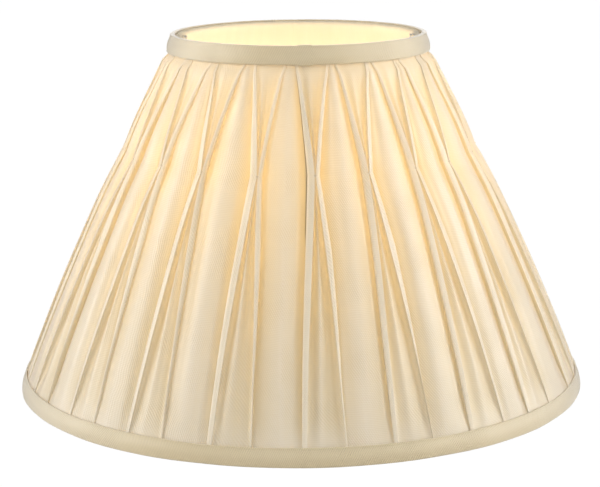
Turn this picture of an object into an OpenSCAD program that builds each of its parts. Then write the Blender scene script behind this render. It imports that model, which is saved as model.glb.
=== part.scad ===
// Empire lamp shade: pinch-pleated silk over a wire frame, with a swinging
// gimbal that carries the lampholder ring.
// Origin at the centre of the bottom edge, +Z up, sizes in millimetres.

/* [Overall] */
// Height over both trims
shade_h = 254; // [210:1:320]
// Diameter over the bottom trim
bottom_d = 406; // [340:1:500]
// Diameter over the top trim at its upper edge
top_d = 181; // [160:1:230]

/* [Wire frame] */
// Diameter of the ring wire
ring_wire_d = 3.5; // [3:0.1:4.5]
// Diameter of the strut wire
strut_wire_d = 3; // [2.4:0.1:3.6]
// Angle of the front strut, to the right of the front
strut_turn = 2.4; // [-8:0.1:8]
// Thickness of the cotton tape wound round each ring
tape_t = 0.5; // [0.3:0.1:0.8]

/* [Fabric] */
// Height of the trim bands
trim_w = 12.5; // [10:0.5:18]
// Thickness of the folded trim fabric
trim_t = 1.2; // [0.8:0.1:1.6]
// Outward lean of the top trim over its height
top_trim_lean = 2.6; // [1:0.1:3.5]
// Outward lean of the bottom trim over its height
bottom_trim_lean = 2.6; // [1:0.1:3.5]
// Thickness of the pressed pleats where they are sewn to the rings
pleat_sewn_t = 2.4; // [1.6:0.1:3]
// How far the pleats billow out between the rings
billow = 4.2; // [0:0.1:6]
// How far the pleats puff out where they leave the top trim
top_puff = 0.4; // [0:0.1:1]
// How far the pinches draw the pleats in
pinch_waist = 2.2; // [0:0.1:3]
// Height of the pinches, as a share of the shade's height
pinch_share = 0.68; // [0.55:0.01:0.8]
// Number of pleats round the shade
pleat_count = 21; // [16:1:28]
// Angle of the pinch nearest the front, to the right of the front
pinch_turn = 4.7; // [-8:0.1:8]
// Thickness of the lining
lining_t = 0.6; // [0.4:0.1:1]
// Width of a pinch tack
tack_w = 3.4; // [2:0.1:6]
// Thickness of a pinch tack
tack_d = 0.8; // [0.6:0.1:1.2]

/* [Gimbal] */
// Drop from the top ring to the pivots
pivot_drop = 13; // [10:0.5:20]
// Drop from the pivots to the underside of the fitter ring
fitter_drop = 29; // [24:0.5:40]
// Diameter of the arm wire and its pivot pins
arm_wire_d = 3; // [2.4:0.1:4]
// Radial clearance of a pivot pin in its lug
pivot_gap = 0.06; // [0.03:0.01:0.09]
// Hole through the fitter ring
fitter_bore_d = 42; // [34:0.5:50.5]
// Thickness of the fitter ring's pressed steel
fitter_t = 1.2; // [1:0.1:2]
// Height of the fitter ring's collar
fitter_h = 5; // [4:0.5:8]
// Width of the fitter ring's flange beyond its collar
fitter_flange = 3; // [2:0.5:5]
// Thickness and width of the pivot lugs
lug_t = 2; // [1.6:0.1:3]
lug_w = 8; // [7:0.5:12]

/* [Reducer] */
// Hole through the reducer
reducer_bore_d = 29; // [27:0.5:32]
// Depth of the reducer's spigot in the fitter ring
spigot_h = 3.4; // [2:0.1:4]
// Thickness of the reducer's flange
reducer_flange_t = 1.6; // [1.2:0.1:2.4]
// Width of the reducer's flange beyond the fitter's hole
reducer_lap = 1.6; // [1:0.1:2.5]
// Radial clearance of the spigot in the fitter ring
reducer_gap = 0.15; // [0.1:0.05:0.3]

/* [Hidden] */
STRUTS = 6;

$fn = 96;
lay = 0.1;        // gap between one layer of fabric and the next
clear = 0.3;      // gap between the fabric and the frame

// Trims: radius of the outer face, widest where each one rolls over its edge
function top_trim_r(z) =
    top_d / 2 + top_trim_lean * (shade_h - trim_t - z) / (trim_w - trim_t);
function low_trim_r(z) =
    bottom_d / 2 - bottom_trim_lean * (z - trim_t) / (trim_w - trim_t);

// Rings: the tape's outer radius in section, and each ring's centre line
tape_r = ring_wire_d / 2 + tape_t;
stack = trim_t + pleat_sewn_t + 2 * lay;
ring_top_z = shade_h - trim_t - lay - tape_r;
ring_top_r = top_trim_r(ring_top_z) - stack - tape_r;
ring_low_z = trim_t + lay + tape_r;
ring_low_r = low_trim_r(ring_low_z) - stack - tape_r;

// Struts run straight from ring to ring
strut_slope = (ring_low_r - ring_top_r) / (ring_top_z - ring_low_z);
strut_lean = atan(strut_slope);
strut_half = strut_wire_d / 2 / cos(strut_lean);
function strut_r(z) = ring_low_r - (z - ring_low_z) * strut_slope;

// Pleats: radius of their crests, from the lower trim's edge to the upper one's
cover_low_z = trim_w + lay;
cover_top_z = shade_h - trim_w - lay;
cover_low_r = low_trim_r(cover_low_z) - trim_t;
cover_top_r = top_trim_r(cover_top_z) + top_puff;
pinch_z = shade_h * pinch_share;
pinch_reach = 18; // half height of the waist that the pinches make
function cover_up(z) = (z - cover_low_z) / (cover_top_z - cover_low_z);
function waist(z) = pinch_waist * exp(-pow((z - pinch_z) / pinch_reach, 2));
function crest_r(z) = cover_low_r + (cover_top_r - cover_low_r) * cover_up(z)
    + billow * sin(180 * pow(cover_up(z), 0.8)) - waist(z) * sin(180 * cover_up(z));
cover_lean = (cover_low_r - cover_top_r) / (cover_top_z - cover_low_z);
COVER_STEPS_LOW = 14;
COVER_STEPS_HIGH = 6;
// Heights of the cover's section, with one at the pinches
cover_zs = concat(
    [for (i = [0:COVER_STEPS_LOW])
        cover_low_z + (pinch_z - cover_low_z) * i / COVER_STEPS_LOW],
    [for (i = [1:COVER_STEPS_HIGH])
        pinch_z + (cover_top_z - pinch_z) * i / COVER_STEPS_HIGH]);

// Lining: parallel to the struts, just inside them
lining_gap = max(strut_half, tape_r) + clear;
function lining_r(z) = strut_r(z) - lining_gap;
lining_low_z = ring_low_z - 2;
lining_top_z = ring_top_z + tape_r - 0.2;

// Gimbal
pivot_z = ring_top_z - pivot_drop;
fitter_z = pivot_z - fitter_drop;
fitter_r = fitter_bore_d / 2;
collar_r = fitter_r + fitter_t;
flange_r = collar_r + fitter_flange;
pin_r = arm_wire_d / 2;
neatener_t = 0.6;
neatener_gap = 0.2;
neatener_lap = 3;  // how far a neatener reaches past its lug on each side
lug_x = lining_r(ring_top_z) - lining_t - neatener_t - neatener_gap - clear - lug_t;
lug_foot = 2;      // height of the foot that joins a lug to the ring
slit = 0.3;        // room round the foot where it passes the fabric
pin_head = 1;      // thickness of the peened head outside the lug
pin_head_r = pin_r + 0.9;
pin_in = 5;        // straight length of the pin inside the lug
pin_slack = 0.4;   // side play of the head against the lug
elbow_r = pin_r + 0.3;  // the wire spreads a little where it is bent

module ring_wire(r, z, wire_r) {
    translate([0, 0, z])
        rotate_extrude()
            translate([r, 0])
                circle(r = wire_r);
}

module rod(from, to, r) {
    d = to - from;
    flat = norm([d[0], d[1]]);
    translate(from)
        rotate([0, atan2(flat, d[2]), atan2(d[1], d[0])])
            cylinder(h = norm(d), r = r);
}

module top_ring() {
    color("silver") ring_wire(ring_top_r, ring_top_z, ring_wire_d / 2);
}

module bottom_ring() {
    color("silver") ring_wire(ring_low_r, ring_low_z, ring_wire_d / 2);
}

// A strut, coped to sit against both rings
module strut(i) {
    turn = strut_turn - 90 + (i - 1) * 360 / STRUTS;
    color("silver")
        difference() {
            rotate([0, 0, turn])
                rod([ring_low_r, 0, ring_low_z], [ring_top_r, 0, ring_top_z], strut_wire_d / 2);
            top_ring();
            bottom_ring();
        }
}

// The room the struts need where they leave a ring: side is 1 upwards, -1 downwards
module strut_slits(r, z, side) {
    reach = tape_r * 2;
    for (i = [1:STRUTS])
        rotate([0, 0, strut_turn - 90 + (i - 1) * 360 / STRUTS])
            rod([r, 0, z], [r - side * reach * strut_slope, 0, z + side * reach],
                strut_wire_d / 2 + lay);
}

// The room a lug's foot needs where it passes the tape and the lining
module foot_slits() {
    for (side = [-1, 1])
        translate([side * (lug_x + lug_t / 2), -lug_w / 2 - slit, ring_top_z - lug_foot / 2 - slit])
            mirror([side < 0 ? 1 : 0, 0, 0])
                cube([ring_top_r - lug_x, lug_w + 2 * slit, lug_foot + 2 * slit]);
}

// A lug with the pivot's hole, and a foot that reaches out to the ring
module hanger() {
    color("silver")
        difference() {
            union() {
                translate([lug_x, -lug_w / 2, pivot_z])
                    cube([lug_t, lug_w, pivot_drop + lug_foot / 2]);
                translate([lug_x, 0, pivot_z])
                    rotate([0, 90, 0])
                        cylinder(h = lug_t, r = lug_w / 2);
                translate([lug_x, -lug_w / 2, ring_top_z - lug_foot / 2])
                    cube([ring_top_r - lug_x, lug_w, lug_foot]);
            }
            translate([lug_x - 1, 0, pivot_z])
                rotate([0, 90, 0])
                    cylinder(h = lug_t + 2, r = pin_r + pivot_gap);
            top_ring();
        }
}

module right_hanger() {
    hanger();
}

module left_hanger() {
    rotate([0, 0, 180]) hanger();
}

// Tape wound round a ring, open where the struts leave it
module ring_tape(r, z, side) {
    difference() {
        ring_wire(r, z, tape_r);
        union() {
            ring_wire(r, z, ring_wire_d / 2);
            strut_slits(r, z, side);
        }
    }
}

module top_ring_tape() {
    color("ivory")
        difference() {
            ring_tape(ring_top_r, ring_top_z, -1);
            foot_slits();
        }
}

module bottom_ring_tape() {
    color("ivory") ring_tape(ring_low_r, ring_low_z, 1);
}

// One thin cone of fabric, with slits for the lugs' feet
module lining() {
    color("lightyellow")
        difference() {
            rotate_extrude()
                polygon([
                    [lining_r(lining_low_z), lining_low_z],
                    [lining_r(lining_top_z), lining_top_z],
                    [lining_r(lining_top_z) - lining_t, lining_top_z],
                    [lining_r(lining_low_z) - lining_t, lining_low_z]]);
            foot_slits();
        }
}

// A strip of lining fabric folded round a lug's foot
module neatener() {
    reach = 8;
    low = ring_top_z - reach;
    high = lining_top_z;
    face = lining_t + neatener_gap;
    arc = (lug_w + 2 * neatener_lap) / ring_top_r * 90 / PI;
    color("lightyellow")
        difference() {
            rotate([0, 0, -arc])
                rotate_extrude(angle = 2 * arc)
                    polygon([
                        [lining_r(low) - face, low],
                        [lining_r(high) - face, high],
                        [lining_r(high) - face - neatener_t, high],
                        [lining_r(low) - face - neatener_t, low]]);
            foot_slits();
        }
}

module right_neatener() {
    neatener();
}

module left_neatener() {
    rotate([0, 0, 180]) neatener();
}

// The pleats as one plain shell: outer face at their crests, inner face
// just clear of the struts, thinned where it is sewn under the trims
module pleated_cover() {
    low_in = ring_low_r + tape_r + lay;
    top_in = ring_top_r + tape_r + lay;
    inner = strut_half + clear;
    under = trim_t + lay;
    sewn_low = ring_low_z;
    sewn_top = ring_top_z;
    color("oldlace")
        rotate_extrude()
            polygon(concat(
                [[low_in, sewn_low], [low_trim_r(sewn_low) - under, sewn_low],
                    [low_trim_r(cover_low_z) - under, cover_low_z]],
                [for (z = cover_zs) [crest_r(z), z]],
                [[top_trim_r(cover_top_z) - under, cover_top_z],
                    [top_trim_r(sewn_top) - under, sewn_top], [top_in, sewn_top]],
                [[strut_r(cover_top_z) + inner, cover_top_z],
                    [strut_r(cover_low_z) + inner, cover_low_z],
                    [low_in, sewn_low + tape_r]]));
}

// A thread tack over each pinch
module pinch_stitches() {
    r = crest_r(pinch_z) + (tack_d / 2 + lay) * sqrt(1 + pow(cover_lean, 2));
    color("ivory")
        for (i = [0:pleat_count - 1])
            rotate([0, 0, pinch_turn - 90 + i * 360 / pleat_count])
                translate([r, -tack_w / 2, pinch_z])
                    rotate([-90, 0, 0])
                        cylinder(h = tack_w, r = tack_d / 2);
}

// A band down the outside of the ring, rolled over its top
module top_trim() {
    low = shade_h - trim_w;
    brow = shade_h - trim_t;
    in_r = lining_r(lining_top_z) - lining_t;
    color("blanchedalmond")
        rotate_extrude()
            polygon([
                [top_trim_r(low) - trim_t, low],
                [top_trim_r(low), low],
                [top_trim_r(brow), brow],
                [top_trim_r(brow) - trim_t * 0.3, shade_h - trim_t * 0.3],
                [top_trim_r(brow) - trim_t, shade_h],
                [in_r + trim_t * 0.5, shade_h],
                [in_r, brow],
                [top_trim_r(brow) - trim_t, brow]]);
}

// A band up the outside of the ring, rolled under it
module bottom_trim() {
    high = trim_w;
    sole = trim_t;
    in_r = lining_r(lining_low_z) - lining_t;
    color("blanchedalmond")
        rotate_extrude()
            polygon([
                [low_trim_r(high) - trim_t, high],
                [low_trim_r(high), high],
                [low_trim_r(sole), sole],
                [low_trim_r(sole) - trim_t * 0.3, trim_t * 0.3],
                [low_trim_r(sole) - trim_t, 0],
                [in_r + trim_t * 0.5, 0],
                [in_r, sole],
                [low_trim_r(sole) - trim_t, sole]]);
}

// A wire arm: its pin through the lug, an elbow, and a straight run to the ring
module arm() {
    elbow = [lug_x - pin_in, 0, pivot_z];
    foot = [flange_r, 0, fitter_z + fitter_h - fitter_t / 2];
    head_x = lug_x + lug_t + pin_slack;
    color("silver")
        difference() {
            union() {
                rod(elbow, [head_x, 0, pivot_z], pin_r);
                rod([head_x, 0, pivot_z], [head_x + pin_head, 0, pivot_z], pin_head_r);
                translate(elbow)
                    sphere(r = elbow_r);
                rod(foot, elbow, pin_r);
            }
            translate([0, 0, foot[2] - fitter_t / 2])
                cylinder(h = fitter_t, r = flange_r);
        }
}

module right_arm() {
    arm();
}

module left_arm() {
    rotate([0, 0, 180]) arm();
}

// Pressed steel: a collar with a flange round its top
module fitter_ring() {
    color("silver")
        translate([0, 0, fitter_z])
            difference() {
                union() {
                    cylinder(h = fitter_h, r = collar_r);
                    translate([0, 0, fitter_h - fitter_t])
                        cylinder(h = fitter_t, r = flange_r);
                }
                translate([0, 0, -1])
                    cylinder(h = fitter_h + 2, r = fitter_r);
            }
}

// Moulded ring: a spigot in the fitter ring, with a flange on top of it
module reducer_ring() {
    seat_z = fitter_z + fitter_h + 0.02;
    color("white")
        difference() {
            union() {
                translate([0, 0, seat_z - spigot_h])
                    cylinder(h = spigot_h, r = fitter_r - reducer_gap);
                translate([0, 0, seat_z])
                    cylinder(h = reducer_flange_t, r = fitter_r + reducer_lap);
            }
            translate([0, 0, seat_z - spigot_h - 1])
                cylinder(h = spigot_h + reducer_flange_t + 2, r = reducer_bore_d / 2);
        }
}

top_ring();
bottom_ring();
for (i = [1:STRUTS])
    strut(i);
left_hanger();
right_hanger();
top_ring_tape();
bottom_ring_tape();
lining();
left_neatener();
right_neatener();
pleated_cover();
pinch_stitches();
top_trim();
bottom_trim();
left_arm();
right_arm();
fitter_ring();
reducer_ring();
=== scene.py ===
import math
import random

import bmesh
import bpy
import numpy as np
from mathutils import Matrix, Vector


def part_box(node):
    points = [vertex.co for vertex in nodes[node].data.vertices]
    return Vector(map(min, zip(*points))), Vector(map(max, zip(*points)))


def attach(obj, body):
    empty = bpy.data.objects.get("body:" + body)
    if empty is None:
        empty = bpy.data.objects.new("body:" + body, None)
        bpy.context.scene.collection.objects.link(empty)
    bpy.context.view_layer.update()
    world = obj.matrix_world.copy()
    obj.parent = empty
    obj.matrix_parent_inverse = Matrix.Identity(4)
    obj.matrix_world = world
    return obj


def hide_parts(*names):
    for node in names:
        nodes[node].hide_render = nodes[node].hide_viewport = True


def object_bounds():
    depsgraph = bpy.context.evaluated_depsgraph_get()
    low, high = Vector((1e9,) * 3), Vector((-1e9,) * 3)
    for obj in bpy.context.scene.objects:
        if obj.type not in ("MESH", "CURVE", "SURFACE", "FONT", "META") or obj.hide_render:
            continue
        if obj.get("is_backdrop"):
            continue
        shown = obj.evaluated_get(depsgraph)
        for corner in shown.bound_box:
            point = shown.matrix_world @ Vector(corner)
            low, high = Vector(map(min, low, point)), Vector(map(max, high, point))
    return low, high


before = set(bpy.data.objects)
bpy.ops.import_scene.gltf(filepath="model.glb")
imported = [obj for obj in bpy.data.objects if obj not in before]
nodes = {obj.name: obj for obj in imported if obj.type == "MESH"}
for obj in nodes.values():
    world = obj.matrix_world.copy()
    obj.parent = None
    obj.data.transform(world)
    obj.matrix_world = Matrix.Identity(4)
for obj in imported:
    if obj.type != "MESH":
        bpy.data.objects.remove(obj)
cad_low, cad_high = (list(corner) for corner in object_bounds())
MM = 0.001


# ---------------------------------------------------------------- wire frame
# Top ring, bottom ring and six struts of drawn steel wire, welded together and
# dipped in a thin white coating that pools a little and dulls in patches.
# They keep the shape the frame gives them.

class NodeMaker:
    """Adds nodes to a material or a node group, and joins them up."""

    def __init__(self, tree):
        self.tree = tree

    def add(self, kind, **settings):
        node = self.tree.nodes.new(kind)
        for name, value in settings.items():
            setattr(node, name, value)
        return node

    def join(self, source, target):
        self.tree.links.new(source, target)

    def feed(self, socket, value):
        if isinstance(value, bpy.types.NodeSocket):
            self.join(value, socket)
        else:
            socket.default_value = value

    def filled(self, kind, **values):
        """A node with its inputs given by name, with _ for each space."""
        return self.fill(self.add(kind), **values)

    def fill(self, node, **values):
        for name, value in values.items():
            self.feed(node.inputs[name.replace("_", " ")], value)
        return node

    def maths(self, operation, first, second=0.0, third=0.0, clamp=False):
        node = self.add("ShaderNodeMath", operation=operation, use_clamp=clamp)
        for socket, value in zip(node.inputs, (first, second, third)):
            self.feed(socket, value)
        return node.outputs[0]

    def times(self, first, second):
        return self.maths("MULTIPLY", first, second)

    def blend(self, amount, first, second):
        node = self.add("ShaderNodeMix", data_type="RGBA")
        factor, first_colour, second_colour, result = 0, 6, 7, 2
        self.feed(node.inputs[factor], amount)
        self.feed(node.inputs[first_colour], first)
        self.feed(node.inputs[second_colour], second)
        return node.outputs[result]

    def remap(self, value, low, high, new_low=0.0, new_high=1.0):
        node = self.add("ShaderNodeMapRange")
        for socket, number in zip(node.inputs, (value, low, high, new_low, new_high)):
            self.feed(socket, number)
        return node.outputs[0]

    def noise(self, vector, scale, detail=2.0, roughness=0.5):
        return self.filled("ShaderNodeTexNoise", Vector=vector, Scale=scale, Detail=detail,
                           Roughness=roughness).outputs["Fac"]

    def bump(self, height, strength, distance):
        return self.filled("ShaderNodeBump", Height=height, Strength=strength,
                           Distance=distance).outputs[0]

    def mix_to(self, output, amount, first, second):
        """Ends a material in a mix of two shaders."""
        both = self.add("ShaderNodeMixShader")
        for socket, value in zip(both.inputs, (amount, first.outputs[0], second.outputs[0])):
            self.feed(socket, value)
        self.join(both.outputs[0], output.inputs["Surface"])

    def group(self, group, **values):
        return self.fill(self.add("ShaderNodeGroup", node_tree=group), **values)


def new_group(name, inputs, outputs):
    """A shader node group: inputs with their values, and outputs with their kinds."""
    group = bpy.data.node_groups.new(name, "ShaderNodeTree")
    for label, value in inputs.items():
        kind = "NodeSocketColor" if isinstance(value, tuple) else "NodeSocketFloat"
        socket = group.interface.new_socket(label, in_out="INPUT", socket_type=kind)
        socket.default_value = value
    for label, kind in outputs.items():
        group.interface.new_socket(label, in_out="OUTPUT", socket_type="NodeSocket" + kind)
    maker = NodeMaker(group)
    return group, maker, maker.add("NodeGroupInput"), maker.add("NodeGroupOutput")


def new_material(name):
    material = bpy.data.materials.new(name)
    material.use_nodes = True
    maker = NodeMaker(material.node_tree)
    material.node_tree.nodes.clear()
    return material, maker, maker.add("ShaderNodeOutputMaterial")


def solid_surface(maker, output, colour, roughness, normal, **more):
    """An opaque surface."""
    shader = maker.filled("ShaderNodeBsdfPrincipled", Base_Color=colour, Roughness=roughness,
                          Normal=normal, **more)
    maker.join(shader.outputs[0], output.inputs["Surface"])


def worn_finish_group():
    """Patchy colour, roughness and small surface ripples for metal and moulded parts."""
    group, maker, given, result = new_group(
        "worn_finish",
        {"Colour": (0.8, 0.8, 0.8, 1), "Worn Colour": (0.5, 0.5, 0.5, 1),
         "Patch Scale": 120.0, "Wear": 0.3, "Roughness": 0.4, "Ripple Scale": 900.0,
         "Ripple": 0.2},
        {"Colour": "Color", "Roughness": "Float", "Normal": "Vector"})
    place = maker.add("ShaderNodeTexCoord").outputs["Object"]
    patches = maker.noise(place, given.outputs["Patch Scale"], 4.0, 0.6)
    worn = maker.times(maker.remap(patches, 0.52, 0.7), given.outputs["Wear"])
    maker.join(maker.blend(worn, given.outputs["Colour"], given.outputs["Worn Colour"]),
               result.inputs["Colour"])
    shift = maker.remap(patches, 0.3, 0.7, -0.08, 0.12)
    maker.join(maker.maths("ADD", given.outputs["Roughness"], shift, clamp=True),
               result.inputs["Roughness"])
    ripples = maker.noise(place, given.outputs["Ripple Scale"], 3.0, 0.6)
    maker.join(maker.bump(ripples, given.outputs["Ripple"], 0.2 * MM), result.inputs["Normal"])
    return group


WORN_FINISH = worn_finish_group()


def finish_material(name, colour, worn_colour, metallic, plain, **finish):
    material, maker, output = new_material(name)
    finish_node = maker.group(WORN_FINISH, Colour=colour, Worn_Colour=worn_colour, **finish)
    solid_surface(maker, output, finish_node.outputs["Colour"],
                  finish_node.outputs["Roughness"], finish_node.outputs["Normal"],
                  Metallic=metallic, **plain)
    return material


def dress(node_names, material):
    """Gives frame nodes a finish in all their material slots."""
    for name in node_names:
        slots = nodes[name].data.materials
        if not slots:
            slots.append(material)
        for index in range(len(slots)):
            slots[index] = material


STRUTS = [f"strut_{number}" for number in range(1, 7)]
coated_wire = finish_material(
    "coated_wire", (0.83, 0.82, 0.78, 1), (0.55, 0.53, 0.48, 1), 0.0,
    {"Coat_Weight": 0.35, "Coat_Roughness": 0.2},
    Patch_Scale=160.0, Wear=0.35, Roughness=0.42, Ripple_Scale=700.0, Ripple=0.25)
dress(["top_ring", "bottom_ring", *STRUTS], coated_wire)


def box_of(name):
    """A frame node's lowest and highest corners as arrays, in metres."""
    return [np.array(corner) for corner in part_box(name)]


def ring_wire(name):
    """Radius of the ring, height of its middle and radius of its wire."""
    low, high = box_of(name)
    wire = (high[2] - low[2]) / 2
    return high[0] - wire, (high[2] + low[2]) / 2, wire


TOP_RING_R, TOP_RING_Z = ring_wire("top_ring")[:2]
LOW_RING_R, LOW_RING_Z, RING_WIRE = ring_wire("bottom_ring")
FRAME_SLOPE = (LOW_RING_R - TOP_RING_R) / (TOP_RING_Z - LOW_RING_Z)
STRUT_COUNT = len(STRUTS)
STRUT_TURN = math.radians(2.4)  # the first strut stands this far round from the front


def strut_line(z):
    """Radius of the middle line of the struts at a height."""
    return LOW_RING_R - (z - LOW_RING_Z) * FRAME_SLOPE


# ------------------------------------------------------------ gimbal hangers
# Two flat steel lugs, welded to the top ring left and right. The arms of the
# gimbal turn in their eyes. Bright zinc plate, slightly cloudy.

zinc_plate = finish_material(
    "zinc_plate", (0.66, 0.67, 0.68, 1), (0.42, 0.42, 0.41, 1), 1.0,
    {"Anisotropic": 0.3},
    Patch_Scale=90.0, Wear=0.45, Roughness=0.3, Ripple_Scale=1400.0, Ripple=0.2)
dress(["left_hanger", "right_hanger"], zinc_plate)


# ------------------------------------------------------------------ ring tape
# Narrow cotton tape wound tightly round both rings, each turn lapping the one
# before, so that the lining and the cover have something to be sewn to.

def on_cone(turn, reach, z):
    """Points at an angle from the front, a distance from the middle line and a height."""
    return np.stack((reach * np.sin(turn), -reach * np.cos(turn), z + 0 * turn), axis=-1)


def sheet_mesh(name, points, weave, closed_round=True, closed_across=False, marks=None):
    """A smooth mesh from a grid of points, rows by columns, with cloth UVs in metres."""
    rows, columns = points.shape[:2]
    vertices = points.reshape(-1, 3)
    faces, corners = [], []
    for row in range(rows if closed_across else rows - 1):
        above = (row + 1) % rows
        for column in range(columns if closed_round else columns - 1):
            beside = (column + 1) % columns
            faces.append((row * columns + column, row * columns + beside,
                          above * columns + beside, above * columns + column))
            corners.append(((row, column), (row, column + 1),
                            (row + 1, column + 1), (row + 1, column)))
    mesh = bpy.data.meshes.new(name)
    mesh.from_pydata([tuple(v) for v in vertices], [], faces)
    layer = mesh.uv_layers.new(name="cloth")
    flat = [value for face in corners for row, column in face
            for value in weave(row, column)]
    layer.data.foreach_set("uv", flat)
    for mark, values in (marks or {}).items():
        attribute = mesh.attributes.new(mark, "FLOAT", "POINT")
        attribute.data.foreach_set("value", values.reshape(-1).astype(np.float32))
    mesh.polygons.foreach_set("use_smooth", [True] * len(faces))
    mesh.update()
    return mesh


def put_in_scene(name, data):
    thing = bpy.data.objects.new(name, data)
    bpy.context.scene.collection.objects.link(thing)
    return thing


def place_piece(name, mesh, material, body, slot, *replaced):
    """Puts a finished mesh in the scene as a piece of one of the bodies."""
    piece = put_in_scene(name, mesh)
    mesh.materials.append(material)
    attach(piece, body)
    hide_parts(*replaced)
    return piece


def thread_weave_group():
    """Fine ribs and threads over cloth UVs, with slubs, for colour and normal. The colour is
    painted darker in the troughs between ribs, as painted shade.
    """
    group, maker, given, result = new_group(
        "thread_weave",
        {"Colour": (0.8, 0.75, 0.6, 1), "Rib Colour": (0.7, 0.65, 0.5, 1),
         "Rib Pitch": 1.2 * MM, "Warp Pitch": 0.8 * MM, "Turn": 0.0, "Rib Depth": 0.3,
         "Slub": 0.3, "Watering": 0.0},
        {"Colour": "Color", "Normal": "Vector"})
    cloth = maker.add("ShaderNodeUVMap", uv_map="cloth").outputs[0]
    turned = maker.fill(maker.add("ShaderNodeVectorRotate", rotation_type="Z_AXIS"),
                        Vector=cloth, Angle=given.outputs["Turn"])
    drift = maker.noise(cloth, 45.0)
    split = maker.add("ShaderNodeSeparateXYZ")
    maker.join(turned.outputs[0], split.inputs[0])
    along = maker.maths("DIVIDE", split.outputs[1], given.outputs["Rib Pitch"])
    along = maker.maths("MULTIPLY_ADD", drift, 1.4, along)
    across = maker.maths("DIVIDE", split.outputs[0], given.outputs["Warp Pitch"])

    def wave(place):
        return maker.maths("SINE", maker.times(place, 2 * math.pi))

    ribs = maker.maths("MULTIPLY_ADD", wave(along), 0.5, 0.5)
    threads = maker.maths("MULTIPLY_ADD", wave(across), 0.5, 0.5)
    stretched = maker.add("ShaderNodeMapping", vector_type="POINT")
    stretched.inputs["Scale"].default_value = (60.0, 1600.0, 1.0)
    maker.join(turned.outputs[0], stretched.inputs["Vector"])
    slubs = maker.noise(stretched.outputs[0], 1.0, roughness=0.6)
    slubs = maker.times(maker.remap(slubs, 0.45, 0.75), given.outputs["Slub"])
    slanted = maker.maths("MULTIPLY_ADD", split.outputs[0], 1.5, split.outputs[1])
    slanted = maker.maths("DIVIDE", slanted, 2.5 * MM)
    slanted = maker.maths("MULTIPLY_ADD", drift, 3.0, slanted)
    where = maker.remap(maker.noise(cloth, 26.0, 1.0), 0.42, 0.6)
    watered = maker.times(maker.times(wave(slanted), where), given.outputs["Watering"])
    height = maker.maths("MULTIPLY_ADD", threads, 0.25, ribs)
    height = maker.maths("ADD", height, maker.maths("ADD", slubs, watered))
    # The troughs between ribs are painted toward the rib colour as painted shade; slubs and
    # watering, the cloth's own marks, add to the same tone.
    shade = maker.times(maker.maths("SUBTRACT", 1.0, ribs), given.outputs["Rib Depth"])
    shade = maker.maths("MULTIPLY_ADD", watered, 0.4, shade)
    shade = maker.maths("MULTIPLY_ADD", slubs, 0.35, shade, clamp=True)
    maker.join(maker.blend(shade, given.outputs["Colour"], given.outputs["Rib Colour"]),
               result.inputs["Colour"])
    maker.join(maker.bump(height, given.outputs["Rib Depth"], 0.12 * MM),
               result.inputs["Normal"])
    return group


THREAD_WEAVE = thread_weave_group()


def cotton_material():
    material, maker, output = new_material("cotton_tape")
    weave = maker.group(THREAD_WEAVE, Colour=(0.82, 0.78, 0.68, 1),
                        Rib_Colour=(0.62, 0.58, 0.48, 1), Rib_Pitch=0.7 * MM,
                        Warp_Pitch=0.7 * MM, Rib_Depth=0.55, Slub=0.5)
    solid_surface(maker, output, weave.outputs["Colour"], 0.85, weave.outputs["Normal"],
                  Sheen_Weight=0.3, Sheen_Roughness=0.5, Specular_IOR_Level=0.3)
    return material


COTTON = cotton_material()
TAPE_WIDTH = 10.0 * MM
TAPE_ADVANCE = 6.5 * MM
TAPE_THICK = 0.5 * MM


def wound_tape(name, node, ring_r, ring_z):
    """One ring's winding: a strip in a spiral, each turn riding up over the last one."""
    turns = round(2 * math.pi * ring_r / TAPE_ADVANCE)
    around = 14  # points in one turn about the wire
    across = np.array([0.0, 0.06, 0.3, 0.42, 0.7, 1.0])
    lift = np.array([1.0, 1.15, 1.0, 0.4, 0.3, 0.3]) * TAPE_THICK
    roll = 2 * math.pi * np.arange(turns * around) / around
    wire = RING_WIRE + lift[:, None]
    turn = roll[None, :] / turns + across[:, None] * TAPE_WIDTH / ring_r
    reach = ring_r + wire * np.cos(roll)[None, :]
    points = on_cone(turn, reach, ring_z + wire * np.sin(roll)[None, :])
    step = math.hypot(TAPE_ADVANCE, 2 * math.pi * RING_WIRE) / around

    def weave(row, column):
        return across[row] * TAPE_WIDTH, column * step

    mesh = sheet_mesh(name, points[::-1], weave)
    piece = place_piece(name, mesh, COTTON, "shade", "cotton_tape", node)


wound_tape("top_tape_winding", "top_ring_tape", TOP_RING_R, TOP_RING_Z)
wound_tape("bottom_tape_winding", "bottom_ring_tape", LOW_RING_R, LOW_RING_Z)


# --------------------------------------------------------------------- lining
# A smooth cone of cream lining cloth inside the struts, stretched from ring to
# ring and sewn to the tapes. It has a narrow sewn seam at two opposite struts.

LINING_LOW_Z, LINING_TOP_Z = (corner[2] for corner in box_of("lining"))
LINING_GAP = strut_line(LINING_LOW_Z) - box_of("lining")[1][0]
LINING_THICK = 0.6 * MM


def lining_profile():
    """Radius and height up the lining: the cone, then over the taped top ring."""
    rows, bend_steps = 60, 8
    over = RING_WIRE + TAPE_THICK + 0.45 * MM
    start = TOP_RING_Z - 0.3 * MM
    line = []
    for row in range(rows):
        z = LINING_LOW_Z + row / (rows - 1) * (start - LINING_LOW_Z)
        line.append((strut_line(z) - LINING_GAP - LINING_THICK / 2, z))
    for step in range(1, bend_steps + 1):
        bend = math.pi * (1 - step / (bend_steps + 3))
        line.append((TOP_RING_R + over * math.cos(bend), TOP_RING_Z + over * math.sin(bend)))
    return line


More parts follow.
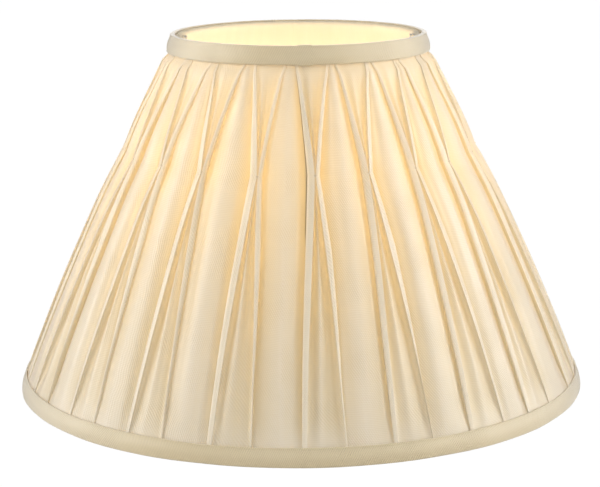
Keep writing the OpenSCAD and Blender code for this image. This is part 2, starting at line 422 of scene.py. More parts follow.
def lining_grid():
    """Points of the lining: puckered where it is sewn, with a raised seam at two struts."""
    columns = 720
    pucker, seam_proud, seam_wide = 0.2 * MM, 0.45 * MM, 1.1 * MM
    turn = np.linspace(0, 2 * math.pi, columns, endpoint=False)
    line = lining_profile()
    grid = np.zeros((len(line), columns, 3))
    for row, (radius, z) in enumerate(line):
        share = (z - LINING_LOW_Z) / (LINING_TOP_Z - LINING_LOW_Z)
        reach = radius + 0 * turn
        near_edge = math.exp(-share / 0.05) + math.exp(-(1 - min(share, 1)) / 0.07)
        reach -= pucker * near_edge * (1 + np.sin(turn * 57 + 0.7 * np.sin(turn * 5)))
        reach -= pucker * np.sin(turn * 3 - 3 * STRUT_TURN) ** 2
        for seam in (STRUT_TURN, STRUT_TURN + math.pi):
            off = (turn - seam + math.pi) % (2 * math.pi) - math.pi
            reach -= seam_proud * np.exp(-(off * reach / seam_wide) ** 2)
        grid[row] = on_cone(turn, reach, z)
    return grid[::-1]


def glow_cloth(maker, output, colour, through_colour, amount, normal, roughness, **more):
    """Thin cloth: part of the light scatters back, and part passes through to the far side."""
    shader = maker.filled("ShaderNodeBsdfPrincipled", Base_Color=colour, Roughness=roughness,
                          Normal=normal, **more)
    passing = maker.filled("ShaderNodeBsdfTranslucent", Color=through_colour, Normal=normal)
    maker.mix_to(output, amount, shader, passing)


def cloudy_cloth_group():
    """Slow changes of tone over cloth, as threads take dye and light unevenly."""
    group, maker, given, result = new_group(
        "cloudy_cloth",
        {"Colour": (0.8, 0.75, 0.6, 1), "Deep Colour": (0.7, 0.6, 0.4, 1),
         "Cloud Scale": 20.0, "Streak": 0.3},
        {"Colour": "Color"})
    cloth = maker.add("ShaderNodeUVMap", uv_map="cloth").outputs[0]
    clouds = maker.remap(maker.noise(cloth, given.outputs["Cloud Scale"], 3.0, 0.55), 0.35, 0.7)
    long_way = maker.add("ShaderNodeMapping", vector_type="POINT")
    long_way.inputs["Scale"].default_value = (420.0, 9.0, 1.0)
    maker.join(cloth, long_way.inputs["Vector"])
    streaks = maker.remap(maker.noise(long_way.outputs[0], 1.0, 3.0, 0.6), 0.35, 0.7)
    deep = maker.times(streaks, given.outputs["Streak"])
    deep = maker.maths("MULTIPLY_ADD", clouds, 0.5, deep, clamp=True)
    maker.join(maker.blend(deep, given.outputs["Colour"], given.outputs["Deep Colour"]),
               result.inputs["Colour"])
    return group


CLOUDY_CLOTH = cloudy_cloth_group()


def lining_material():
    material, maker, output = new_material("lining_cloth")
    tone = maker.group(CLOUDY_CLOTH, Colour=(0.91, 0.89, 0.82, 1),
                       Deep_Colour=(0.88, 0.84, 0.72, 1), Cloud_Scale=14.0, Streak=0.35)
    weave = maker.group(THREAD_WEAVE, Colour=tone.outputs["Colour"],
                        Rib_Colour=(0.80, 0.70, 0.48, 1), Rib_Pitch=0.6 * MM,
                        Warp_Pitch=0.6 * MM, Rib_Depth=0.15, Slub=0.25)
    glow_cloth(maker, output, weave.outputs["Colour"], (0.95, 0.86, 0.66, 1), 0.5,
               weave.outputs["Normal"], 0.5, Sheen_Weight=0.2, Sheen_Roughness=0.4,
               Specular_IOR_Level=0.35)
    return material


LINING_CLOTH = lining_material()


def add_lining():
    grid = lining_grid()
    columns = grid.shape[1]
    mid_round = 2 * math.pi * (TOP_RING_R + LOW_RING_R) / 2
    steps = np.linalg.norm(np.diff(grid[:, 0], axis=0), axis=1)
    up = np.concatenate(([0.0], np.cumsum(steps)))
    slant = float(up[-1])

    def weave(row, column):
        return column / columns * mid_round, slant - up[row]

    mesh = sheet_mesh("lining_cone", grid, weave)
    piece = place_piece("lining_cone", mesh, LINING_CLOTH, "shade", "lining_fabric",
                        "lining")


add_lining()


# ----------------------------------------------------------------- neateners
# A narrow strip of lining cloth, folded double, under each gimbal lug. It hides the
# slit in the lining: its ends run up beside the lug and are sewn under the top trim.

STRIP_WIDE = 5.0 * MM
LUG_HALF = 4.0 * MM


def strip_path(low_z, high_z):
    """The strip's middle line, as sideways offset and height: down, round and up."""
    side = LUG_HALF + STRIP_WIDE / 2 - 1.0 * MM
    straight = high_z - low_z - side
    shares = [step / 8 for step in range(9)]
    path = [(-side, high_z - straight * share) for share in shares]
    path += [(-side * math.cos(turn), low_z + side - side * math.sin(turn))
             for turn in (math.pi * step / 12 for step in range(1, 12))]
    path += [(side, low_z + side + straight * share) for share in shares]
    return path


def add_neatener(name, node, front_turn):
    low, high = box_of(node)
    path = strip_path(low[2], high[2] - 0.5 * MM)
    face = [(share, 0.2 * MM + 0.5 * MM * (1 - share ** 4)) for share in np.linspace(-1, 1, 9)]
    back = [(share, 0.12 * MM) for share in np.linspace(0.9, -0.9, 7)]
    section = face + back
    grid = np.zeros((len(section), len(path), 3))
    for index, (side, z) in enumerate(path):
        before, after = path[max(index - 1, 0)], path[min(index + 1, len(path) - 1)]
        ahead = Vector((after[0] - before[0], after[1] - before[1])).normalized()
        for row, (share, crown) in enumerate(section):
            offset = share * STRIP_WIDE / 2
            arc, height = side - ahead.y * offset, z + ahead.x * offset
            reach = strut_line(height) - LINING_GAP - LINING_THICK - crown
            grid[row, index] = on_cone(front_turn + arc / reach, reach, height)
    flat_width = 2 * STRIP_WIDE
    length = 2 * (high[2] - low[2])

    def weave(row, column):
        return row / len(section) * flat_width, column / (len(path) - 1) * length

    mesh = sheet_mesh(name, grid, weave, closed_round=False, closed_across=True)
    piece = place_piece(name, mesh, LINING_CLOTH, "shade", "lining_fabric", node)


add_neatener("right_slit_strip", "right_neatener", math.pi / 2)
add_neatener("left_slit_strip", "left_neatener", -math.pi / 2)


# -------------------------------------------------------------- pleated cover
# One long piece of fine ribbed silk laid in 21 pleats and sewn to both rings.
# Each pleat is pinched together at two thirds of the height and falls open above
# and below: a smooth arched panel, a valley, a flat folded band, then the V.

PLEATS = 21
CLOTH_PER_PLEAT = 72.0 * MM
FIRST_PINCH = 4.7
CAD_PINCH_SHARE = 0.68
SHADE_TALL = cad_high[2]
PINCH_Z = SHADE_TALL * CAD_PINCH_SHARE
TRIM_TALL = 12.5 * MM
OPEN_TOP_Z = SHADE_TALL - TRIM_TALL
SEWN_IN = 7.5 * MM  # how far the cover runs on behind each trim
LOWEST_SHARE, HIGHEST_SHARE = 0.05, 0.95
chance = random.Random(21)


def cover_crest():
    """Heights and radii of the pleats' crests, from the frame's own cover."""
    mesh = nodes["pleated_cover"].data
    flat = np.zeros(len(mesh.vertices) * 3)
    mesh.vertices.foreach_get("co", flat)
    points = flat.reshape(-1, 3)
    reach = np.hypot(points[:, 0], points[:, 1])
    open_part = (points[:, 2] > TRIM_TALL) & (points[:, 2] < OPEN_TOP_Z)
    proud = reach > strut_line(points[:, 2]) + 2.9 * MM
    levels = {}
    for z, r in zip(points[open_part & proud, 2], reach[open_part & proud]):
        key = round(z, 4)
        levels[key] = max(levels.get(key, 0.0), r)
    heights = sorted(levels)
    return np.array(heights), np.array([levels[z] for z in heights])


CREST_Z, CREST_R = cover_crest()


def sample(share, *pairs):
    """A value that changes evenly between (share, value) pairs."""
    return float(np.interp(share, [p[0] for p in pairs], [p[1] for p in pairs]))


class Pleat:
    """How one pleat was laid by hand: where its pinch sits and how wide its folds are."""

    def __init__(self, number):
        # Degrees off even spacing: set one by one at the front, by chance elsewhere
        drift = {1: -0.6, 2: -1.0, 3: -2.4, 17: -1.1, 18: -0.8, 19: -1.4, 20: -0.2, 0: 0.0}
        self.turn = math.radians(FIRST_PINCH + number * 360 / PLEATS
                                 + drift.get(number, chance.uniform(-0.9, 0.9)))
        self.lift = chance.uniform(-1.3, 1.3) * MM
        self.left = chance.uniform(0.88, 1.12)
        self.right = chance.uniform(0.88, 1.12)
        self.left_low = chance.uniform(0.85, 1.15)
        self.right_low = chance.uniform(0.85, 1.15)
        self.left_band = chance.uniform(0.85, 1.15)
        self.right_band = chance.uniform(0.7, 1.25)
        self.low_band = chance.choice((0.35, 0.6, 1.0, 2.4))
        self.depth = chance.uniform(0.85, 1.1)
        self.ridge = chance.uniform(0.32, 0.46)
        self.second = chance.uniform(0.58, 0.74)
        self.second_high = chance.uniform(0.1, 0.5)
        self.crisp_up = chance.choice((0.35, 1.0))
        self.crisp_down = chance.choice((0.1, 0.2, 0.8))
        self.shadow_valley = 0.0
        self.phase = [chance.uniform(0, 2 * math.pi) for _ in range(8)]
        if number == 0:  # the front pleat lies evenly; its left valley is painted dark as a shadow along the crease
            self.left = self.right = self.left_low = self.right_low = 1.0
            self.left_band = self.right_band = self.low_band = 1.0
            self.ridge = 0.4
            self.crisp_up, self.crisp_down, self.shadow_valley = 1.0, 0.3, 1.0

    def lines(self, share):
        """Crest offsets and band widths, left and right of the pinch, in metres.

        The numbers are in millimetres, at shares of the way up or down from the pinch.
        """
        wander = 0.3 * math.sin(share * 9 + self.phase[0])
        veer = 0.3 * math.sin(share * 8 + self.phase[1])
        if share >= CAD_PINCH_SHARE:
            up = (share - CAD_PINCH_SHARE) / (HIGHEST_SHARE - CAD_PINCH_SHARE)
            left = 0.35 + (5.2 * up + 2.1 * up * up) * self.left
            right = 0.35 + (8.5 * up + 2.5 * up ** 3) * self.right
            free = min(1.0, 3 * up)
            left_band = sample(up, (0, 4.7), (0.37, 3.9), (0.57, 3.0), (0.78, 2.3), (1, 1.8))
            right_band = sample(up, (0, 2.8), (0.3, 2.6), (0.6, 2.4), (0.8, 2.0), (1, 1.7))
        else:
            down = (CAD_PINCH_SHARE - share) / (CAD_PINCH_SHARE - LOWEST_SHARE)
            left = 0.35 + (15.5 * down - 2.8 * down * down) * self.left_low
            right = 0.35 + (14.6 * down - 2.6 * down * down) * self.right_low
            free = min(1.0, 3 * down)
            left_band = sample(down, (0, 4.7), (0.4, 4.4), (1, 3.1))
            end = 0.8 * self.low_band
            right_band = sample(down, (0, 2.8), (0.28, 3.9), (0.55, (3.9 + end) / 2),
                                (0.8, end), (1, end))
        return ((left + wander * free) * MM, (right + veer * free) * MM,
                left_band * self.left_band * MM, right_band * self.right_band * MM)


PLEAT_SET = [Pleat(number) for number in range(PLEATS)]


def half_fold(band, valley, edge_low, v_depth, crisp, shadow_valley):
    """Offsets from the crest, heights, layers and fold edges, from the arch's foot inwards."""
    tuck = min(0.45 * MM, 0.3 * band) * crisp
    bead = 0.12 * MM
    return [
        (-band + tuck - 0.3 * MM * (1 - crisp), -valley, shadow_valley, 0.0),
        (-band + 0.75 * tuck, -valley * 0.75 * crisp + edge_low * (1 - crisp), 0.5, 0.0),
        (-band + 0.2 * tuck, edge_low - 0.4 * MM * crisp, 1.0, 0.4 * crisp),
        (-band - 0.12 * tuck, edge_low - 0.1 * MM * crisp, 1.0, crisp),
        (-band + min(0.5 * MM, 0.2 * band), edge_low * 0.8 + bead * crisp, 1.0, 0.8 * crisp),
        (-band * 0.66, edge_low * 0.38 + bead, 0.9, 0.1),
        (-min(1.0 * MM, 0.42 * band), edge_low * 0.1 + 0.5 * bead, 0.9, 0.3),
        (-min(0.35 * MM, 0.2 * band), 0.9 * bead, 1.0, 1.0),
        (0.0, bead, 1.0, 1.0),
        (0.1 * MM, -0.2 * MM, 0.6, 0.6),
        (-0.12 * MM, -0.45 * v_depth, 0.3, 0.0),
    ]


ARCH_STEPS = (0.0, 0.3, 0.54, 0.73, 0.87, 0.96)
V_STEPS = (0.08, 0.18, 0.29, 0.4, 0.51, 0.62, 0.73, 0.84, 0.93)


def pleat_row(pleat, share, room_left, room_right, flat):
    """One pleat's folds at one height: sideways offsets, heights off the crest, layers."""
    left, right, left_band, right_band = pleat.lines(share)
    valley = sample(share, (0.05, 3.0), (0.3, 4.4), (0.68, 5.2), (0.85, 3.8), (0.95, 2.0))
    v_depth = sample(share, (0.05, 2.8), (0.37, 4.6), (0.55, 5.0), (0.68, 5.0),
                     (0.815, 3.6), (0.95, 1.8))
    v_depth = min(v_depth, 1.0 + 0.75 * (left + right) / MM)
    edge_low = -sample(share, (0.05, 0.5), (0.68, 1.5), (0.95, 0.4)) * MM * flat
    valley *= MM * pleat.depth * flat
    v_depth *= MM * pleat.depth * flat
    arch_top = -0.35 * MM * flat
    swell = sample(share, (0.05, 0.55), (0.4, 0.4), (0.68, 0.15), (0.95, 0.3))
    points = []
    crisp_right = pleat.crisp_up if share > CAD_PINCH_SHARE else pleat.crisp_down
    crisp_right = 1 + (crisp_right - 1) * min(1.0, abs(share - CAD_PINCH_SHARE) / 0.06)
    for side, crest, band, room, crisp in ((-1, left, left_band, room_left, 1.0),
                                           (1, right, right_band, room_right, crisp_right)):
        arch = max(room - crest - band, 0.8 * MM)
        half = []
        for step in ARCH_STEPS:
            soft = 0.35 * math.sin(step * 7 + share * 4 + pleat.phase[2 + (side > 0)])
            soft += 0.22 * math.sin(step * 13 - share * 3 + pleat.phase[5 + (side > 0)])
            soft *= MM
            soft *= flat * math.sin(math.pi * min(step, 1)) * min(1.0, arch / (8 * MM))
            foot = valley * (0.55 + 0.45 * crisp)
            height = arch_top - (foot + arch_top) * step ** 1.75 + soft
            half.append((room - arch * step, height, 0.0, 0.0))
        # In the front pleat's left valley the folded mark rises above 1, which the silk paints
        # dark brown as painted shadow along the crease.
        shadow_valley = 2 * pleat.shadow_valley * (side < 0) * sample(share, (0.45, 0), (0.55, 1))
        for offset, height, layers, edge in half_fold(band, foot, edge_low, v_depth, crisp,
                                                      shadow_valley):
            half.append((crest - offset, height, layers, edge))
        if shadow_valley:
            foot_of_arch, under_band = len(ARCH_STEPS) - 1, len(ARCH_STEPS) + 1
            half[foot_of_arch] = (*half[foot_of_arch][:2], 0.8 * shadow_valley, 0.0)
            half[under_band] = (*half[under_band][:2], max(0.5, shadow_valley), 0.0)
        points.append([(side * s, h, layers, edge) for s, h, layers, edge in half])
    inner = []
    wide = left + right
    ridge_high = sample(share, (0.05, 0.5), (0.4, 0.7), (0.6, 0.65), (0.68, 0.3),
                        (0.75, 0.65), (0.95, 0.4))
    lean = 0.04 * math.sin(share * 7 + pleat.phase[4])
    gathered = sample(share, (0.05, 0.3), (0.3, 0), (0.74, 0), (0.86, 0.4), (0.95, 0.6))
    for step in V_STEPS:
        ridge = math.exp(-((step - pleat.ridge - lean) / 0.15) ** 2)
        second = pleat.second_high * math.exp(-((step - pleat.second - lean) / 0.11) ** 2)
        lift = min(1.0, ridge_high * (ridge + second) + 0.3 * swell * math.sin(math.pi * step))
        edge = 0.85 if step in (V_STEPS[0], V_STEPS[-1]) else 1.0
        inner.append((-left + step * wide, -v_depth * edge * (1 - lift), gathered, 0.0))
    return points[0] + inner + points[1][::-1][:-1]


def smooth_round(values):
    """Doubles a closed line of values with points on a smooth curve between them."""
    before, after, far = (np.roll(values, shift, axis=-1) for shift in (1, -1, -2))
    middle = (9 * (values + after) - before - far) / 16
    out = np.empty(values.shape[:-1] + (values.shape[-1] * 2,))
    out[..., 0::2], out[..., 1::2] = values, middle
    return out


def crest_at(z):
    """Radius of the crests at a height, tucked in behind both trims."""
    if z < CREST_Z[0]:
        low_inside = box_of("bottom_trim")[1][0] - 2.0 * MM
        return min(low_inside, CREST_R[0] + (CREST_Z[0] - z) * 0.2)
    open_r = np.interp(z, CREST_Z, CREST_R)
    top_inside = box_of("top_trim")[1][0] - 1.9 * MM
    top_r = top_inside - max(z - OPEN_TOP_Z, 0.0) * 0.3
    easing = 6 * MM
    top_share = np.clip((z - (OPEN_TOP_Z - easing)) / easing, 0, 1)
    top_share = top_share * top_share * (3 - 2 * top_share)
    return open_r * (1 - top_share) + min(open_r, top_r) * top_share


def row_heights():
    """Heights of the cover's rows of points, closer together at the pinches and trims."""
    low, top = TRIM_TALL, OPEN_TOP_Z
    rows = list(np.linspace(low, top, 74))
    rows += [PINCH_Z + offset * MM for offset in (-4.5, -3, -1.6, -0.7, 0, 0.7, 1.6, 3, 4.5)]
    rows += [low + 0.8 * MM, low + 1.8 * MM, top - 0.8 * MM, top - 1.8 * MM]
    rows += [low - SEWN_IN * share for share in (0.15, 0.5, 1.0)]
    rows += [top + SEWN_IN * share for share in (0.15, 0.5, 1.0)]
    rows = sorted(rows)
    closest = 0.35 * MM
    return [z for z, after in zip(rows, rows[1:] + [math.inf]) if after - z > closest]


def floor_reach(turn, z):
    """How far in the cloth may lie: on the lining, or on a strut where one stands."""
    middle = strut_line(z)
    lining = middle - LINING_GAP + 0.5 * MM
    step = 2 * math.pi / STRUT_COUNT
    strut_proud, strut_wide = 2.0 * MM, 2.5 * MM
    off = (turn - STRUT_TURN + step / 2) % step - step / 2
    near = np.clip(1 - (off * middle / strut_wide) ** 2, 0, 1)
    return np.maximum(lining, middle - LINING_GAP + (LINING_GAP + strut_proud) * np.sqrt(near))


def cover_grid():
    """The cover's points, with how folded, how near a fold's edge and how deep each lies."""
    turns = np.array([pleat.turn for pleat in PLEAT_SET])
    gaps = (np.roll(turns, -1) - turns) % (2 * math.pi)
    lifts = np.array([pleat.lift for pleat in PLEAT_SET])
    sewn_flat, frees_over, deepest = 0.42, 14 * MM, 4.5 * MM
    grid, marks = [], {"folded": [], "edge": [], "deep": []}
    for z in row_heights():
        reach = crest_at(z)
        share = z / SHADE_TALL
        free = min(z - TRIM_TALL, OPEN_TOP_Z - z) / frees_over
        flat = max(min(1.0, sewn_flat + (1 - sewn_flat) * free), sewn_flat)
        pull = 0.7 * MM * math.exp(-((z - PINCH_Z) / (5 * MM)) ** 2)
        line_turn, line_h, line_f, line_e = [], [], [], []
        for number, pleat in enumerate(PLEAT_SET):
            room_right = gaps[number] / 2 * reach
            room_left = gaps[number - 1] / 2 * reach
            row = pleat_row(pleat, min(max(share, LOWEST_SHARE), 0.955), room_left,
                            room_right, flat)
            for s, h, f, e in row:
                line_turn.append(pleat.turn + s / reach)
                line_h.append(h - pull * math.exp(-(s / (6 * MM)) ** 2))
                line_f.append(f)
                line_e.append(e)
        turn = smooth_round_turn(np.array(line_turn))
        height = smooth_round(np.array(line_h))
        marks["folded"].append(np.clip(smooth_round(np.array(line_f)), 0, 2))
        marks["edge"].append(np.clip(smooth_round(np.array(line_e)), 0, 1))
        marks["deep"].append(np.clip(-height / deepest, 0, 1))
        rough = 0.18 * MM * np.sin(turn * 61 + z * 40) * np.sin(turn * 23 - z * 25 + 1.3)
        out = np.maximum(reach + height + rough * flat, floor_reach(turn, z))
        if z < TRIM_TALL or z > OPEN_TOP_Z:
            out = np.maximum(out, reach - 2.2 * MM)
        order = np.argsort(turns)
        shift = np.interp(turn % (2 * math.pi), turns[order] % (2 * math.pi), lifts[order],
                          period=2 * math.pi)
        shift *= math.exp(-((z - PINCH_Z) / (45 * MM)) ** 2)
        grid.append(on_cone(turn, out, z + shift))
    return np.array(grid), {mark: np.array(values) for mark, values in marks.items()}


def smooth_round_turn(turn):
    """The same for angles, which grow by a full turn from the last to the first."""
    even = np.arange(len(turn)) * 2 * math.pi / len(turn)
    doubled = smooth_round(turn - even)
    return doubled + np.arange(len(doubled)) * 2 * math.pi / len(doubled)


def silk_material():
    material, maker, output = new_material("ribbed_silk")
    folded, edge, deep = (maker.add("ShaderNodeAttribute", attribute_name=mark).outputs["Fac"]
                          for mark in ("folded", "edge", "deep"))
    tone = maker.group(CLOUDY_CLOTH, Colour=(0.88, 0.83, 0.72, 1),
                       Deep_Colour=(0.84, 0.78, 0.63, 1), Cloud_Scale=9.0, Streak=0.5)
    weave = maker.group(THREAD_WEAVE, Colour=tone.outputs["Colour"],
                        Rib_Colour=(0.68, 0.59, 0.42, 1), Rib_Pitch=1.15 * MM,
                        Warp_Pitch=0.9 * MM, Turn=0.05, Rib_Depth=0.34, Slub=0.35,
                        Watering=1.5)
    layered = maker.remap(folded, 0.0, 1.0)
    # Folded marks above 1 stand for painted shadow: they are painted dark brown and let no lamp
    # light through.
    crease_shadow = maker.remap(folded, 1.0, 2.0)
    colour = maker.blend(maker.times(layered, 0.42), weave.outputs["Colour"],
                         (0.80, 0.71, 0.52, 1))
    cloth = maker.add("ShaderNodeUVMap", uv_map="cloth").outputs[0]
    split = maker.add("ShaderNodeSeparateXYZ")
    maker.join(cloth, split.inputs[0])
    # Deep valleys are painted darker and olive low down, as painted shade, and orange higher
    # up, as painted lamp glow.
    high_up = maker.remap(split.outputs[1], 0.03, 0.14)
    valley_shade_and_glow = maker.blend(high_up, (0.66, 0.57, 0.34, 1), (0.80, 0.67, 0.37, 1))
    colour = maker.blend(maker.times(deep, 0.75), colour, valley_shade_and_glow)
    # Points near a fold's edge are painted lighter: a painted highlight along the fold edges.
    colour = maker.blend(maker.times(edge, 0.5), colour, (0.97, 0.93, 0.83, 1))
    # Painted shadow: the front pleat's left valley goes dark brown here.
    colour = maker.blend(maker.times(crease_shadow, 0.8), colour, (0.30, 0.21, 0.10, 1))
    # Deep valleys higher up also let more lamp light through, which paints extra glow into
    # them.
    lit = maker.times(deep, maker.remap(high_up, 0.0, 1.0, 0.3, 1.0))
    thin = maker.maths("MULTIPLY_ADD", maker.maths("POWER", lit, 0.8), 0.38, 0.24)
    passing = maker.times(thin, maker.remap(layered, 0.0, 1.0, 1.0, 0.74))
    # Fold edges also let a little more lamp light through, which adds to the painted highlight
    # there.
    passing = maker.maths("MULTIPLY_ADD", edge, 0.14, passing)
    passing = maker.times(passing, maker.maths("SUBTRACT", 1.0, crease_shadow))
    glow_cloth(maker, output, colour, (0.96, 0.86, 0.66, 1), passing,
               weave.outputs["Normal"], 0.42, Sheen_Weight=1.0, Sheen_Roughness=0.4,
               Sheen_Tint=(1.0, 0.93, 0.91, 1), Specular_IOR_Level=0.65)
    return material


RIBBED_SILK = silk_material()


def add_cover():
    grid, marks = cover_grid()
    lengths = np.linalg.norm(np.diff(grid, axis=1, append=grid[:, :1]), axis=2).mean(axis=0)
    along = np.concatenate(([0.0], np.cumsum(lengths)))
    along *= PLEATS * CLOTH_PER_PLEAT / along[-1]
    slant = 1 / math.cos(math.atan(FRAME_SLOPE))
    up = (grid[:, 0, 2] - grid[0, 0, 2]) * slant

    def weave(row, column):
        return along[column], up[row]

    mesh = sheet_mesh("silk_cover", grid, weave, marks=marks)
    piece = place_piece("silk_cover", mesh, RIBBED_SILK, "shade", "pleated_silk",
                        "pleated_cover")


add_cover()


# ---------------------------------------------------------------- pinch tacks
# A few turns of matching thread at each pinch. They draw the two crests of the
# pleat together, and finish in a small flat knot.

THREAD_R = 0.17 * MM


def thread_material():
    material, maker, output = new_material("sewing_thread")
    place = maker.add("ShaderNodeTexCoord").outputs["Object"]
    twist = maker.noise(place, 2600.0)
    colour = maker.blend(twist, (0.72, 0.62, 0.43, 1), (0.84, 0.76, 0.60, 1))
    solid_surface(maker, output, colour, 0.6, maker.bump(twist, 0.4, 0.1 * MM),
                  Sheen_Weight=0.3, Specular_IOR_Level=0.35)
    return material


def tube(bm, line, radius, sides=6):
    """A closed round tube of thread along a line of points."""
    rings = []
    for index, point in enumerate(line):
        ahead = (line[min(index + 1, len(line) - 1)] - line[max(index - 1, 0)]).normalized()
        side = ahead.cross(Vector((0, 0, 1))).normalized()
        up = side.cross(ahead)
        end = 0.35 if index in (0, len(line) - 1) else 1.0
        rings.append([bm.verts.new(point + end * radius * (
            side * math.cos(2 * math.pi * k / sides) + up * math.sin(2 * math.pi * k / sides)))
            for k in range(sides)])
    for ring, after in zip(rings, rings[1:]):
        for k in range(sides):
            bm.faces.new((ring[k], ring[(k + 1) % sides], after[(k + 1) % sides], after[k]))
    bm.faces.new(rings[0][::-1])
    bm.faces.new(rings[-1])


def add_tacks():
    """Four short strands over each pinch, and a curl of thread as the knot."""
    bm = bmesh.new()
    reach = crest_at(PINCH_Z) - 0.7 * MM
    half = 1.25 * MM
    for pleat in PLEAT_SET:
        z = PINCH_Z + pleat.lift
        for strand in range(4):
            rise = (strand - 1.5) * 0.36 * MM + chance.uniform(-0.06, 0.06) * MM
            tilt = chance.uniform(-0.3, 0.3) * MM
            line = []
            for step in range(9):
                side = -half + 2 * half * step / 8
                out = reach + 0.35 * MM - 1.2 * MM * abs(side / half) ** 3
                turn = pleat.turn + side / reach
                line.append(Vector(on_cone(turn, out, z + rise + tilt * side / half)))
            tube(bm, line, THREAD_R)
        knot = [Vector(on_cone(pleat.turn + 0.4 * MM * math.cos(a) / reach,
                               reach + 0.45 * MM, z + 0.45 * MM * math.sin(a)))
                for a in (math.pi * step / 5 for step in range(-2, 7))]
        tube(bm, knot, THREAD_R * 1.15)
    bmesh.ops.recalc_face_normals(bm, faces=bm.faces)
    mesh = bpy.data.meshes.new("pinch_tacks")
    bm.to_mesh(mesh)
    bm.free()
    mesh.polygons.foreach_set("use_smooth", [True] * len(mesh.polygons))
    place_piece("pinch_tacks", mesh, thread_material(), "shade", "thread",
                "pinch_stitches")


add_tacks()


# ---------------------------------------------------------------------- trims
# Bias strips of the same silk, folded double with turned-in edges, rolled over
# both rings and sewn down on the outside. The top one's ends lap near the front,
# the bottom one's at the back.

def trim_material():
    material, maker, output = new_material("bias_silk")
    tone = maker.group(CLOUDY_CLOTH, Colour=(0.76, 0.63, 0.39, 1),
                       Deep_Colour=(0.70, 0.57, 0.34, 1), Cloud_Scale=22.0, Streak=0.2)
    weave = maker.group(THREAD_WEAVE, Colour=tone.outputs["Colour"],
                        Rib_Colour=(0.54, 0.43, 0.24, 1), Rib_Pitch=1.1 * MM,
                        Warp_Pitch=1.1 * MM, Turn=1.15, Rib_Depth=0.75, Slub=0.3,
                        Watering=0.8)
    glow_cloth(maker, output, weave.outputs["Colour"], (0.9, 0.72, 0.45, 1), 0.06,
               weave.outputs["Normal"], 0.4, Sheen_Weight=1.0, Sheen_Roughness=0.5,
               Specular_IOR_Level=1.0)
    return material


BIAS_SILK = trim_material()
LAP_TURN = math.radians(5.0)


def corner_curve(profile, rounds=3):
    """Cuts the corners of an open line again and again, to a smooth curve."""
    points = np.array(profile, dtype=float)
    for _ in range(rounds):
        first = points[:-1] * 0.75 + points[1:] * 0.25
        second = points[:-1] * 0.25 + points[1:] * 0.75
        cut = np.stack((first, second), axis=1).reshape(-1, 2)
        points = np.concatenate((points[:1], cut, points[-1:]))
    return points


def add_trim(name, node, profile, start_turn, wave):
    """Sweeps a trim's section round the shade, once round and a little over itself."""
    section = corner_curve(profile)
    middle = section.mean(axis=0)
    columns = 480
    full = 2 * math.pi + LAP_TURN
    rise_turn, lap_proud, off_floor = 0.02, 0.45 * MM, 0.25 * MM
    grid = np.zeros((len(section), columns, 3))
    for column in range(columns):
        share = column / (columns - 1)
        turn = start_turn + full * share
        over = min(max(0.0, (share * full - 2 * math.pi + rise_turn) / rise_turn), 1.0)
        proud = lap_proud * over
        lowest = off_floor * (1 - over)
        ripple = wave * MM * (math.sin(turn * 9 + 1) + 0.6 * math.sin(turn * 23))
        grown = section + (section - middle) * (proud + ripple * 0.4) / (6 * MM)
        grid[:, column] = on_cone(np.full(len(section), turn), grown[:, 0],
                                  np.maximum(grown[:, 1], lowest))
    steps = np.linalg.norm(np.diff(section, axis=0), axis=1)
    across = np.concatenate(([0.0], np.cumsum(steps)))
    around = full * float(section[:, 0].max())

    def weave(row, column):
        return column / (columns - 1) * around, across[row]

    mesh = sheet_mesh(name, grid, weave, closed_round=False)
    piece = place_piece(name, mesh, BIAS_SILK, "shade", "trim_fabric", node)


def trim_section(node, upward):
    """The strip's section: in under the ring, over its edge, down the face, turned under."""
    low, high = box_of(node)
    widest = high[0]
    if upward:
        edge_z, far_z, sign = high[2], low[2], -1
        edge_r, far_r = widest - 2.6 * MM, widest
        inner = TOP_RING_R + 1.7 * MM
        hidden = [(TOP_RING_R + 3.4 * MM, edge_z - 3.0 * MM),
                  (inner + 0.3 * MM, edge_z - 1.3 * MM),
                  (inner + 0.1 * MM, edge_z - 0.4 * MM)]
    else:
        edge_z, far_z, sign = low[2], high[2], 1
        edge_r, far_r = widest, widest - 2.6 * MM
        inner = LOW_RING_R - 4.3 * MM
        hidden = [(inner, edge_z + 4.2 * MM), (inner, edge_z + 1.4 * MM)]
    return [*hidden,
            (inner + 0.9 * MM, edge_z),
            (edge_r - 1.2 * MM, edge_z),
            (edge_r + 0.1 * MM, edge_z + sign * 0.2 * MM),
            (edge_r + 0.25 * MM, edge_z + sign * 2.2 * MM),
            (edge_r * 0.45 + far_r * 0.55 + 0.9 * MM, edge_z * 0.45 + far_z * 0.55),
            (far_r + 0.15 * MM, far_z - sign * 1.5 * MM),
            (far_r + 0.05 * MM, far_z - sign * 0.1 * MM),
            (far_r - 1.1 * MM, far_z + sign * 0.1 * MM),
            (far_r - 1.2 * MM, far_z - sign * 1.4 * MM),
            (far_r * 0.8 + edge_r * 0.2 - 1.2 * MM, far_z * 0.7 + edge_z * 0.3)]


add_trim("top_binding", "top_trim", trim_section("top_trim", True)[::-1],
         math.radians(0.5), 0.12)
add_trim("bottom_binding", "bottom_trim", trim_section("bottom_trim", False),
         math.radians(-172.0), 0.3)


# --------------------------------------------------------------------- gimbal
# Two bent steel arms and a flanged fitter ring, spot welded and zinc plated.
# The arms' ends turn in the eyes of the lugs, so the whole gimbal tilts.

dress(["left_arm", "right_arm", "fitter_ring"], zinc_plate)


# -------------------------------------------------------------- reducer ring
# A loose ring of moulded white plastic that sits in the fitter ring, so that the
# shade fits the smaller size of lampholder too.

moulded_plastic = finish_material(
    "moulded_plastic", (0.82, 0.81, 0.78, 1), (0.72, 0.70, 0.64, 1), 0.0, {},
    Patch_Scale=60.0, Wear=0.3, Roughness=0.45, Ripple_Scale=2200.0, Ripple=0.12)
dress(["reducer_ring"], moulded_plastic)


# ----------------------------------------------------- floor, lights, camera
# A plain pale floor that runs far back, a warm lamp inside the shade, and large
# soft lights: two at the sides and a weaker one in front, which is left darker.

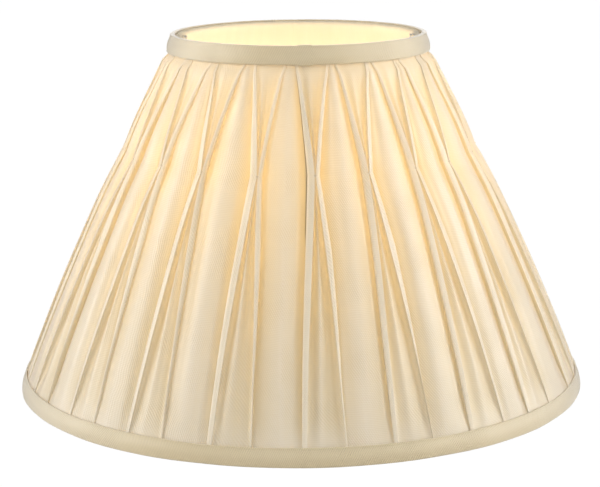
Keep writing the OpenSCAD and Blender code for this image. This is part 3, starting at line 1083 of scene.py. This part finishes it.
def add_floor():
    """A floor that is pale grey to the light on it, and almost white to the camera."""
    mesh = bpy.data.meshes.new("studio_floor")
    wide, back, front = 14.0, 16.0, -6.0
    mesh.from_pydata([(-wide, front, 0), (wide, front, 0), (wide, back, 0), (-wide, back, 0)],
                     [], [(0, 1, 2, 3)])
    floor = put_in_scene("studio_floor", mesh)
    floor.location.z = -0.2 * MM
    material, maker, output = new_material("studio_floor")
    paint = maker.filled("ShaderNodeBsdfPrincipled", Base_Color=(0.65, 0.65, 0.65, 1),
                         Roughness=0.9, Specular_IOR_Level=0.1)
    bright = maker.filled("ShaderNodeEmission", Strength=1.04)
    seen = maker.add("ShaderNodeLightPath").outputs["Is Camera Ray"]
    maker.mix_to(output, maker.times(seen, 0.96), paint, bright)
    mesh.materials.append(material)
    floor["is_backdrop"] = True


def add_sky(strength):
    world = bpy.data.worlds.new("studio")
    bpy.context.scene.world = world
    world.use_nodes = True
    maker = NodeMaker(world.node_tree)
    world.node_tree.nodes.clear()
    output = maker.add("ShaderNodeOutputWorld")
    sky = maker.add("ShaderNodeBackground")
    seen = maker.add("ShaderNodeLightPath").outputs["Is Camera Ray"]
    maker.feed(sky.inputs["Strength"], maker.remap(seen, 0.0, 1.0, strength, 1.0))
    maker.join(sky.outputs[0], output.inputs["Surface"])


def add_light(name, kind, place, power):
    light = bpy.data.lights.new(name, kind)
    light.energy = power
    holder = put_in_scene(name, light)
    holder.location = place
    holder.visible_camera = False
    return light, holder


def add_soft_light(name, place, size, power):
    light, holder = add_light(name, "AREA", place, power)
    light.shape = "RECTANGLE"
    light.size, light.size_y = size
    target = Vector((0, 0, 0.45 * SHADE_TALL))
    holder.rotation_euler = (target - Vector(place)).to_track_quat("-Z", "Y").to_euler()


def add_lamp(power):
    light, _ = add_light("warm_lamp", "POINT", (0, 0, 0.6 * SHADE_TALL), power)
    light.color = (1.0, 0.8, 0.57)
    light.shadow_soft_size = 30 * MM


def add_camera():
    lens = bpy.data.cameras.new("view")
    lens.lens, lens.sensor_width = 111.86, 36.0
    lens.clip_start, lens.clip_end = 0.01, 60.0
    camera = put_in_scene("view", lens)
    away, high, pitch, roll = 1.3195, 0.3916, 0.2171, -0.0085
    camera.matrix_world = (Matrix.Translation((0, -away, high))
                           @ Matrix.Rotation(math.pi / 2 - pitch, 4, "X")
                           @ Matrix.Rotation(roll, 4, "Z"))
    bpy.context.scene.camera = camera


add_floor()
add_sky(0.32)
add_soft_light("left_softbox", (-1.7, -0.1, 0.7), (1.2, 1.6), 27.0)
add_soft_light("right_softbox", (1.7, -0.1, 0.7), (1.2, 1.6), 27.0)
add_soft_light("front_softbox", (0.2, -2.4, 1.2), (1.6, 1.2), 22.0)
add_lamp(0.7)
add_camera()
bpy.context.scene.view_settings.view_transform = "Standard"
